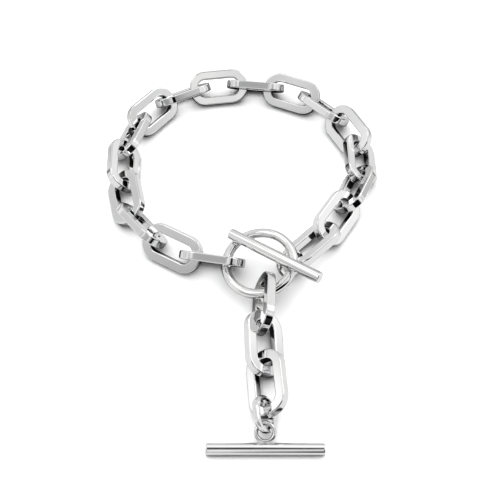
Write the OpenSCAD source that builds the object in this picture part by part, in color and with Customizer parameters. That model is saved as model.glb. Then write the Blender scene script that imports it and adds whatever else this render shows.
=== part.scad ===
// Square-wire link bracelet with a toggle clasp and a short drop that ends in a second bar.
// It lies on a flat surface, with its links turned in turn to one side and to the other.

/* [Main links] */
// Length of one main link over its ends
link_l = 16; // [15.8:0.05:16.2]
// Width of one main link
link_w = 9.4; // [9.2:0.05:9.6]
// Outer radius of a link's corners
link_r = 4.3; // [4:0.05:4.5]
// Width of the link's wire across its flat face
wire_w = 2.35; // [2.2:0.05:2.4]
// Thickness of the link's wire
wire_t = 2.1; // [2:0.05:2.2]
// Rounding of the wire's long edges
wire_edge = 0.35; // [0.2:0.05:0.5]
// Step from the middle of one link to the middle of the next
link_step = 10.5; // [10.4:0.05:10.6]

/* [Clasp] */
// Outside diameter of the clasp ring
ring_d = 18.6; // [18.4:0.1:18.8]
// Diameter of the clasp ring's wire
ring_wire = 2.3; // [2.2:0.1:2.4]
// Length of each bar
bar_l = 25.4; // [24:0.2:27]
// Diameter of each bar
bar_d = 2.7; // [2.5:0.1:2.8]
// Rounding of the bars' ends
bar_edge = 0.3; // [0.2:0.1:0.6]
// Outside diameter of the round eye on each bar
eye_d = 4.8; // [4.6:0.1:5]
// Diameter of the eye's wire
eye_wire = 0.9; // [0.8:0.1:1]

/* [Oval links] */
// Length of an oval link
oval_l = 8.3; // [8.2:0.1:8.4]
// Width of an oval link
oval_w = 6.1; // [6:0.1:6.2]
// Thickness of the oval link's strap
oval_t = 0.8; // [0.7:0.1:0.8]
// Width of the strap at its broad end
oval_broad = 2.2; // [2:0.1:2.4]
// Width of the strap at its narrow end
oval_narrow = 1; // [0.9:0.1:1.2]
// Radius of the strap's domed outer face, across its width
oval_dome = 1.5; // [1.4:0.1:2]

/* [Smoothness] */
// Segments of a full circle
$fn = 64; // [48:8:128]

/* [Hidden] */

// Columns of the tables of links: the way the link points, in degrees from +X, its turn about its own
// length, its nose up from level, and what its step has over link_step
HEADING = 0;
TURN = 1;
NOSE = 2;
PLAY = 3;

// The loop, from the clasp ring's left side all the way round to the toggle bar
LOOP = [
    [170, 56, 0, 0],
    [150, -44, 0, 0],
    [129, 52, 0, 0.2],
    [103, -36, 0, 0.35],
    [92, 42, 0, 0.15],
    [72, -44, 0, 0.05],
    [51, 43, 0, 0.15],
    [27, -42, 0, 0],
    [7.5, 42, 0, -0.05],
    [-6.5, -48, 0, -0.05],
    [-23, 41, 0, -0.1],
    [-45, -42, 0, 0.1],
    [-63, 44, 0, 0.2],
    [-90, -34, 0, 0.15],
    [-115, 42, 0, 0.15],
    [-122, -41, 0, 0.15],
    [-137, 28, -6, 0.1]];
// The drop, from the clasp ring's near side to the oval link
DROP = [
    [-93, 68, 3, -0.3],
    [-88, -31, -5, -0.6],
    [-86, 36, 2, -0.3]];
// Where the first link of each meets the clasp ring
loop_start = [-2.3, -30.8];
drop_start = [5, -37.8];

// Middle of the clasp ring, and how far its right side and its far side are raised
ring_mid = [3.9, -32.1, 5.8];
ring_right_up = 10.5;
ring_far_up = 7.5;

// The toggle bar's middle, the way it points, how far that end is raised, and how far its eye
// is turned up from hanging straight down
toggle_mid = [7.3, -32.35, 9.25];
toggle_heading = -35;
toggle_nose = 4.8;
toggle_eye = 22;

// The end bar's middle on the surface, and how far its eye is raised
end_bar_mid = [4.6, -77.5];
end_eye = 22;

// Middle, turn, nose and heading of each oval link
toggle_oval_mid = [11.4, -30.75, 3.6];
toggle_oval_turn = [-42, 15, -136];
drop_oval_mid = [4.4, -70.45, 3.6];
drop_oval_turn = [-49, -12, -84];

// How far each eye's wire sinks into its bar, where it is soldered
eye_sink = eye_wire / 4;

// Colour of the polished metal
metal = [0.8, 0.81, 0.82];

// Unit step along a row's heading
function along(row) = [cos(row[HEADING]), sin(row[HEADING])];

// Distance between the joints at a link's two ends
function step(row) = link_step + row[PLAY];

// Where the joint after the first n links lies
function joint_after(rows, start, n) =
    n == 0 ? start : joint_after(rows, start, n - 1) + step(rows[n - 1]) * along(rows[n - 1]);

// Height of a link's middle when it just touches the surface, from how far it reaches straight down
function rest_height(row) =
    let (
        down_l = sin(row[NOSE]),
        down_w = sin(row[TURN]) * cos(row[NOSE]),
        down_t = cos(row[TURN]) * cos(row[NOSE]))
    (link_l / 2 - link_r) * abs(down_l) + (link_w / 2 - link_r) * abs(down_w)
    + (link_r - wire_edge) * norm([down_l, down_w]) + (wire_t / 2 - wire_edge) * abs(down_t) + wire_edge;

// Rounded section of a wire, w wide and t thick
module section(w, t, edge) {
    square([w - 2 * edge, t], center = true);
    square([w, t - 2 * edge], center = true);
    for (x = [-1, 1], y = [-1, 1])
        translate([x * (w / 2 - edge), y * (t / 2 - edge)])
            circle(edge);
}

// One straight side of a link, of length l, centred on its own middle
module straight_wire(l) {
    rotate([90, 0, 90])
        linear_extrude(l, center = true)
            section(wire_w, wire_t, wire_edge);
}

// One main link, lying in the XY plane with its length along X
module main_link() {
    side_l = link_l - 2 * link_r;
    end_l = link_w - 2 * link_r;
    middle_r = link_r - wire_w / 2;
    for (s = [-1, 1]) {
        translate([0, s * (link_w - wire_w) / 2, 0])
            straight_wire(side_l);
        translate([s * (link_l - wire_w) / 2, 0, 0])
            rotate([0, 0, 90])
                straight_wire(end_l);
    }
    for (x = [-1, 1], y = [-1, 1])
        translate([x * side_l / 2, y * end_l / 2, 0])
            rotate([0, 0, x > 0 ? (y > 0 ? 0 : -90) : (y > 0 ? 90 : 180)])
                rotate_extrude(angle = 90)
                    translate([middle_r, 0])
                        section(wire_w, wire_t, wire_edge);
}

// Link number i of a table of links
module placed_link(rows, start, i) {
    row = rows[i];
    mid = joint_after(rows, start, i) + step(row) / 2 * along(row);
    translate([mid.x, mid.y, rest_height(row)])
        rotate([row[TURN], -row[NOSE], row[HEADING]])
            main_link();
}

// Link of the loop
module loop_link(i) {
    color(metal)
        placed_link(LOOP, loop_start, i);
}

// Link of the drop
module drop_link(i) {
    color(metal)
        placed_link(DROP, drop_start, i);
}

// Round-wire ring that the toggle bar is passed through
module clasp_ring() {
    color(metal)
        translate(ring_mid)
            rotate([ring_far_up, -ring_right_up, 0])
                rotate_extrude()
                    translate([(ring_d - ring_wire) / 2, 0])
                        circle(d = ring_wire);
}

// Round bar along X with rounded ends
module bar() {
    rotate([0, 90, 0])
        rotate_extrude() {
            translate([0, -bar_l / 2])
                square([bar_d / 2 - bar_edge, bar_l]);
            translate([0, -bar_l / 2 + bar_edge])
                square([bar_d / 2, bar_l - 2 * bar_edge]);
            for (y = [-1, 1])
                translate([bar_d / 2 - bar_edge, y * (bar_l / 2 - bar_edge)])
                    circle(bar_edge);
        }
}

// Round eye soldered to a bar's side, turned about the bar by an angle from +Y
module eye(angle) {
    rotate([angle, 0, 0])
        translate([0, (bar_d + eye_d) / 2 - eye_sink, 0])
            rotate_extrude()
                translate([(eye_d - eye_wire) / 2, 0])
                    circle(d = eye_wire);
}

// Bar that lies across the clasp ring, with its eye below it
module toggle_bar() {
    color(metal)
        translate(toggle_mid)
            rotate([0, -toggle_nose, toggle_heading]) {
                bar();
                eye(toggle_eye - 90);
            }
}

// Bar at the drop's end, with its eye towards the drop
module end_bar() {
    color(metal)
        translate([end_bar_mid.x, end_bar_mid.y, bar_d / 2]) {
            bar();
            eye(end_eye);
        }
}

// Half the strap's width at a place x along its length
function half_strap(x) = (oval_broad + oval_narrow) / 4 - (oval_broad - oval_narrow) / 2 * x / oval_l;

// Section of the strap at its full width, flat inside and domed outside, with its top at x = 0
module strap_section() {
    intersection() {
        translate([-oval_t, -oval_broad / 2])
            square([oval_t, oval_broad]);
        translate([-oval_dome, 0])
            circle(oval_dome);
    }
}

// Oval link of strap that narrows along +X, lying in the XY plane
module strap_link() {
    side_l = oval_l - oval_w;
    // How far from the middle the wedge that trims the strap begins and ends
    trim = oval_l * 3 / 4;
    intersection() {
        for (s = [-1, 1]) {
            translate([s * side_l / 2, 0, 0])
                rotate([0, 0, -s * 90])
                    rotate_extrude(angle = 180)
                        translate([oval_w / 2, 0])
                            strap_section();
            translate([0, s * oval_w / 2, 0])
                rotate([90, 0, s * 90])
                    linear_extrude(side_l, center = true)
                        strap_section();
        }
        rotate([90, 0, 0])
            linear_extrude(2 * oval_w, center = true)
                polygon([
                    [-trim, -half_strap(-trim)], [trim, -half_strap(trim)],
                    [trim, half_strap(trim)], [-trim, half_strap(-trim)]]);
    }
}

// Strap link at a place, with its turn, nose and heading
module placed_strap(mid, angles) {
    color(metal)
        translate(mid)
            rotate([angles[0], -angles[1], angles[2]])
                strap_link();
}

// Oval link between the loop's last link and the toggle bar's eye
module toggle_oval() {
    placed_strap(toggle_oval_mid, toggle_oval_turn);
}

// Oval link between the drop's last link and the end bar's eye
module drop_oval() {
    placed_strap(drop_oval_mid, drop_oval_turn);
}

for (i = [0:len(LOOP) - 1])
    loop_link(i);
for (i = [0:len(DROP) - 1])
    drop_link(i);
clasp_ring();
toggle_oval();
toggle_bar();
drop_oval();
end_bar();
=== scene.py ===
"""Polished silver link bracelet with a ring and toggle-bar clasp and a short drop that ends in a bar.

It lies closed on a white studio table, seen from in front and above.
"""

import math

import bpy
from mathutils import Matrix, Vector

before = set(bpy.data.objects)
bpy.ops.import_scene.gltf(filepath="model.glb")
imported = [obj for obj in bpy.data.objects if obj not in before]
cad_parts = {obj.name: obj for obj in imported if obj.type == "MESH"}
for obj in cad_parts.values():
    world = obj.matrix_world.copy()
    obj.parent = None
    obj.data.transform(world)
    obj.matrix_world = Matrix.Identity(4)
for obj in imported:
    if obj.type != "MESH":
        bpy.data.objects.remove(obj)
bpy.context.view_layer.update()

MM = 0.001

# Camera: the place that it was found to stand in, and the lens of the square picture
CAMERA_PLACE = (-0.77 * MM, -159.33 * MM, 184.97 * MM)
CAMERA_DOWN = math.radians(53.2)
SENSOR = 36
LENS = 69.2
CLIP_START = 5 * MM

# Metals: name, roughness, strength of the scratches, and the CAD nodes that are made of it
METALS = (
    ("link_silver", 0.04, 0.05, [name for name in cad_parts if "link_" in name]),
    ("oval_silver", 0.05, 0.06, ["toggle_oval", "drop_oval"]),
    ("clasp_silver", 0.035, 0.04, ["clasp_ring", "toggle_bar", "end_bar"]),
)
# Colours of the silver's darker and lighter patches
SILVER_DARK = (0.88, 0.88, 0.885, 1)
SILVER_LIGHT = (0.92, 0.92, 0.915, 1)
# Levels of the silver's noise patterns between which it changes
SILVER_LEVELS = (0.35, 0.7)
# Scales of the patterns of haze, colour and scratches: the larger, the finer
HAZE_SCALE = 260.0
TONE_SCALE = 90.0
HAIR_SCALE = 900.0
# Least and greatest roughness in the haze, as parts of the metal's own
HAZE_ROUGHNESS = (0.7, 1.5)
# Turn, stretch and depth of the hairline scratches
HAIR_TURN = (0.4, 0.3, 0.6)
HAIR_STRETCH = (1.0, 14.0, 6.0)
HAIR_DEPTH = 0.02 * MM

# Table: its own white, and the greys that polished metal shows of it, with painted shade close to the
# links and plain grey out in the open
TABLE_SIZE = 1.8
TABLE_WHITE = 0.95
TABLE_IN_METAL = (0.09, 0.575)
TABLE_ROUGHNESS = 0.9
TABLE_SHINE = 0.2
# How far from a link the painted shade on the table that metal shows reaches, the openness at which
# that painted shade is darkest and lightest, and how finely that is sampled
TABLE_PAINTED_SHADE_REACH = 6 * MM
TABLE_OPENNESS = (0.3, 0.88)
TABLE_SAMPLES = 8
# Where along +Y the table that metal shows begins and ends to darken, and to what part
TABLE_FAR = (15 * MM, 45 * MM)
TABLE_FAR_DARK = 0.3

# Light tent all round: brightness of its darker and lighter cloth, scale of that pattern and the
# levels between which it changes, and its white where the camera sees it beyond the table
TENT_BRIGHTNESS = (0.40, 0.57)
TENT_SCALE = 5.0
TENT_LEVELS = (0.35, 0.65)
BACKDROP_WHITE = 1.0

# Softboxes over the table: name, azimuth, elevation, distance, width, height and brightness
SOFTBOXES = (
    ("left_softbox", 76, 62, 0.60, 0.30, 0.22, 0.44),
    ("right_softbox", -110, 46, 0.60, 0.24, 0.24, 0.63),
    ("back_softbox", -165, 62, 0.60, 0.38, 0.14, 0.44),
)
# Lamp for the table alone, which the metal doesn't show, in the same columns
TABLE_LAMP = ("table_lamp", 170, 70, 1.00, 1.80, 1.80, 0.84)

# Soft-edged cards in the tent, which only the polished metal shows: name, azimuth, elevation,
# distance, width, height, brightness, and the part of their radius over which they fade out
CARDS = (
    ("front_left_shade", 31, 17, 0.60, 0.68, 0.52, 0.29, 0.5),
    ("front_left_upper", 22, 54, 0.45, 0.24, 0.14, 0.33, 0.5),
    ("front_right_shade", -30, 18, 0.55, 0.66, 0.54, 0.05, 0.5),
    ("front_right_core", -42, 12, 0.50, 0.42, 0.30, 0.01, 0.4),
    ("front_right_upper", -32, 38, 0.50, 0.22, 0.18, 0.01, 0.4),
    ("front_right_foot", -14, 3, 0.50, 0.38, 0.14, 0.01, 0.4),
    ("camera_shade", -4, 72, 1.50, 0.50, 0.58, 0.0, 0.3),
    ("overhead_shade", 20, 84, 0.50, 0.12, 0.20, 0.31, 0.5),
    ("back_shade", -168, 20, 0.60, 0.44, 0.30, 0.36, 0.5),
    ("left_glow", 104, 20, 0.28, 0.09, 0.085, 0.68, 0.8),
    ("right_glow", -92, 24, 0.45, 0.26, 0.18, 0.60, 0.8),
    ("right_low_glow", -118, 25, 0.40, 0.16, 0.12, 0.68, 0.8),
)


def direction(azimuth, elevation):
    """Unit vector from the bracelet: azimuth 0 is the camera's side, and it grows to the left."""
    a = math.radians(azimuth)
    e = math.radians(elevation)
    return Vector((-math.sin(a) * math.cos(e), -math.cos(a) * math.cos(e), math.sin(e)))


# Materials

def node(tree, kind, **values):
    """A new node with its named inputs or properties set."""
    made = tree.nodes.new(kind)
    for key, value in values.items():
        if key in made.inputs:
            made.inputs[key].default_value = value
        else:
            setattr(made, key, value)
    return made


def ramp(tree, source, low, high, dark, light):
    """Turns a value into one from dark to light as it goes from low to high."""
    made = tree.nodes.new("ShaderNodeMapRange")
    made.inputs["From Min"].default_value = low
    made.inputs["From Max"].default_value = high
    made.inputs["To Min"].default_value = dark
    made.inputs["To Max"].default_value = light
    tree.links.new(source, made.inputs["Value"])
    return made.outputs["Result"]


def polished_silver(name, roughness, scratch):
    """Mirror-polished silver with buffing haze, hairline scratches and a faint colour change."""
    material = bpy.data.materials.new(name)
    material.use_nodes = True
    tree = material.node_tree
    shader = tree.nodes["Principled BSDF"]
    shader.inputs["Metallic"].default_value = 1.0
    place = tree.nodes.new("ShaderNodeTexCoord").outputs["Object"]

    # Buffing haze, in soft patches a few millimetres across
    haze = node(tree, "ShaderNodeTexNoise", Scale=HAZE_SCALE, Detail=3.0)
    tree.links.new(place, haze.inputs["Vector"])
    least, greatest = [roughness * part for part in HAZE_ROUGHNESS]
    rough = ramp(tree, haze.outputs["Fac"], *SILVER_LEVELS, least, greatest)
    tree.links.new(rough, shader.inputs["Roughness"])

    # Colour: neutral silver that is a touch warmer in places
    tone = node(tree, "ShaderNodeTexNoise", Scale=TONE_SCALE, Detail=2.0)
    tree.links.new(place, tone.inputs["Vector"])
    colours = tree.nodes.new("ShaderNodeValToRGB")
    stops = colours.color_ramp.elements
    for stop, level, colour in zip(stops, SILVER_LEVELS, (SILVER_DARK, SILVER_LIGHT)):
        stop.position = level
        stop.color = colour
    tree.links.new(tone.outputs["Fac"], colours.inputs["Fac"])
    tree.links.new(colours.outputs["Color"], shader.inputs["Base Color"])

    # Hairline scratches from the polishing wheel, stretched along one way
    stretch = node(tree, "ShaderNodeMapping", Rotation=HAIR_TURN, Scale=HAIR_STRETCH)
    tree.links.new(place, stretch.inputs["Vector"])
    hairs = node(tree, "ShaderNodeTexNoise", Scale=HAIR_SCALE, Detail=2.0)
    tree.links.new(stretch.outputs["Vector"], hairs.inputs["Vector"])
    bump = node(tree, "ShaderNodeBump", Strength=scratch, Distance=HAIR_DEPTH)
    tree.links.new(hairs.outputs["Fac"], bump.inputs["Height"])
    tree.links.new(bump.outputs["Normal"], shader.inputs["Normal"])
    return material


def soft_card(name, brightness, fade):
    """Even light of its own that fades out towards a card's rim."""
    material = bpy.data.materials.new(name)
    material.use_nodes = True
    tree = material.node_tree
    # The card's rim is half a unit from its middle, and the round fall ends one unit from it
    place = tree.nodes.new("ShaderNodeTexCoord").outputs["Object"]
    stretch = node(tree, "ShaderNodeMapping", Scale=(2, 2, 2))
    tree.links.new(place, stretch.inputs["Vector"])
    round_fall = node(tree, "ShaderNodeTexGradient", gradient_type="SPHERICAL")
    tree.links.new(stretch.outputs["Vector"], round_fall.inputs["Vector"])
    cover = ramp(tree, round_fall.outputs["Fac"], 0, fade, 0, 1)
    clear = tree.nodes.new("ShaderNodeBsdfTransparent")
    glow = node(tree, "ShaderNodeEmission", Strength=brightness)
    mix = tree.nodes.new("ShaderNodeMixShader")
    tree.links.new(cover, mix.inputs["Fac"])
    tree.links.new(clear.outputs["BSDF"], mix.inputs[1])
    tree.links.new(glow.outputs["Emission"], mix.inputs[2])
    tree.links.new(mix.outputs["Shader"], tree.nodes["Material Output"].inputs["Surface"])
    return material


def table_white():
    """Matt white that polished metal shows as a soft grey, with painted shade close to the links."""
    material = bpy.data.materials.new("table_white")
    material.use_nodes = True
    tree = material.node_tree
    shader = tree.nodes["Principled BSDF"]
    shader.inputs["Roughness"].default_value = TABLE_ROUGHNESS
    shader.inputs["Specular IOR Level"].default_value = TABLE_SHINE

    # In the metal: painted shade close to the links, and darker far behind the loop
    # Painted shade: an occlusion node darkens the table that metal shows where links crowd it
    painted_shade = node(tree, "ShaderNodeAmbientOcclusion", Distance=TABLE_PAINTED_SHADE_REACH, samples=TABLE_SAMPLES)
    near_shade = ramp(tree, painted_shade.outputs["AO"], *TABLE_OPENNESS, *TABLE_IN_METAL)
    place = tree.nodes.new("ShaderNodeTexCoord").outputs["Object"]
    along = tree.nodes.new("ShaderNodeSeparateXYZ")
    tree.links.new(place, along.inputs["Vector"])
    far = ramp(tree, along.outputs["Y"], *TABLE_FAR, 1, TABLE_FAR_DARK)
    in_metal = node(tree, "ShaderNodeMath", operation="MULTIPLY")
    tree.links.new(near_shade, in_metal.inputs[0])
    tree.links.new(far, in_metal.inputs[1])

    path = tree.nodes.new("ShaderNodeLightPath")
    shade = ramp(tree, path.outputs["Is Glossy Ray"], 0, 1, TABLE_WHITE, 1)
    tree.links.new(in_metal.outputs["Value"], shade.node.inputs["To Max"])
    tree.links.new(shade, shader.inputs["Base Color"])
    return material


def paint(names, material):
    """Gives CAD nodes a material."""
    for name in names:
        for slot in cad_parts[name].material_slots:
            slot.material = material


# Studio

def add_table():
    """White table that the bracelet lies on."""
    bpy.ops.mesh.primitive_plane_add(size=TABLE_SIZE, location=(0, 0, 0))
    table = bpy.context.object
    table.name = "studio_table"
    table.data.materials.append(table_white())


def add_card(name, azimuth, elevation, distance, width, height, brightness, fade):
    """Round-edged card that faces the bracelet and is seen in its reflections alone."""
    way = direction(azimuth, elevation)
    bpy.ops.mesh.primitive_plane_add(size=1, location=way * distance)
    card = bpy.context.object
    card.name = name
    card.scale = (width, height, 1)
    card.rotation_euler = way.to_track_quat("Z", "Y").to_euler()
    card.data.materials.append(soft_card(name, brightness, fade))
    card.visible_camera = False
    card.visible_diffuse = False
    card.visible_shadow = False
    card.visible_transmission = False


def add_softbox(name, azimuth, elevation, distance, width, height, brightness):
    """Lamp that faces the bracelet and looks as bright as its brightness says."""
    way = direction(azimuth, elevation)
    bpy.ops.object.light_add(type="AREA", location=way * distance)
    lamp = bpy.context.object
    lamp.name = name
    lamp.data.shape = "RECTANGLE"
    lamp.data.size = width
    lamp.data.size_y = height
    lamp.data.energy = brightness * math.pi * width * height
    lamp.rotation_euler = way.to_track_quat("Z", "Y").to_euler()
    return lamp


def light_tent():
    """White cloth all round that gives a soft light of its own."""
    world = bpy.data.worlds.new("tent")
    world.use_nodes = True
    tree = world.node_tree
    background = tree.nodes["Background"]
    background.inputs["Color"].default_value = (1, 1, 1, 1)
    # The cloth is a little uneven
    place = tree.nodes.new("ShaderNodeTexCoord").outputs["Generated"]
    cloth = node(tree, "ShaderNodeTexNoise", Scale=TENT_SCALE, Detail=1.0)
    tree.links.new(place, cloth.inputs["Vector"])
    glow = ramp(tree, cloth.outputs["Fac"], *TENT_LEVELS, *TENT_BRIGHTNESS)
    # Seen beyond the table it is plain white
    path = tree.nodes.new("ShaderNodeLightPath")
    seen = ramp(tree, path.outputs["Is Camera Ray"], 0, 1, 0, BACKDROP_WHITE)
    tree.links.new(glow, seen.node.inputs["To Min"])
    tree.links.new(seen, background.inputs["Strength"])
    bpy.context.scene.world = world


def add_camera():
    """Camera at the photograph's viewing angle."""
    bpy.ops.object.camera_add(location=CAMERA_PLACE, rotation=(math.pi / 2 - CAMERA_DOWN, 0, 0))
    camera = bpy.context.object
    camera.data.sensor_width = SENSOR
    camera.data.lens = LENS
    camera.data.clip_start = CLIP_START
    bpy.context.scene.camera = camera


bpy.ops.object.select_all(action="DESELECT")
add_camera()
light_tent()
add_table()
for softbox in SOFTBOXES:
    add_softbox(*softbox)
add_softbox(*TABLE_LAMP).visible_glossy = False
for card in CARDS:
    add_card(*card)

for metal, roughness, scratch, names in METALS:
    paint(names, polished_silver(metal, roughness, scratch))

bpy.context.scene.view_settings.view_transform = "Standard"
bpy.context.scene.view_settings.look = "Very High Contrast"
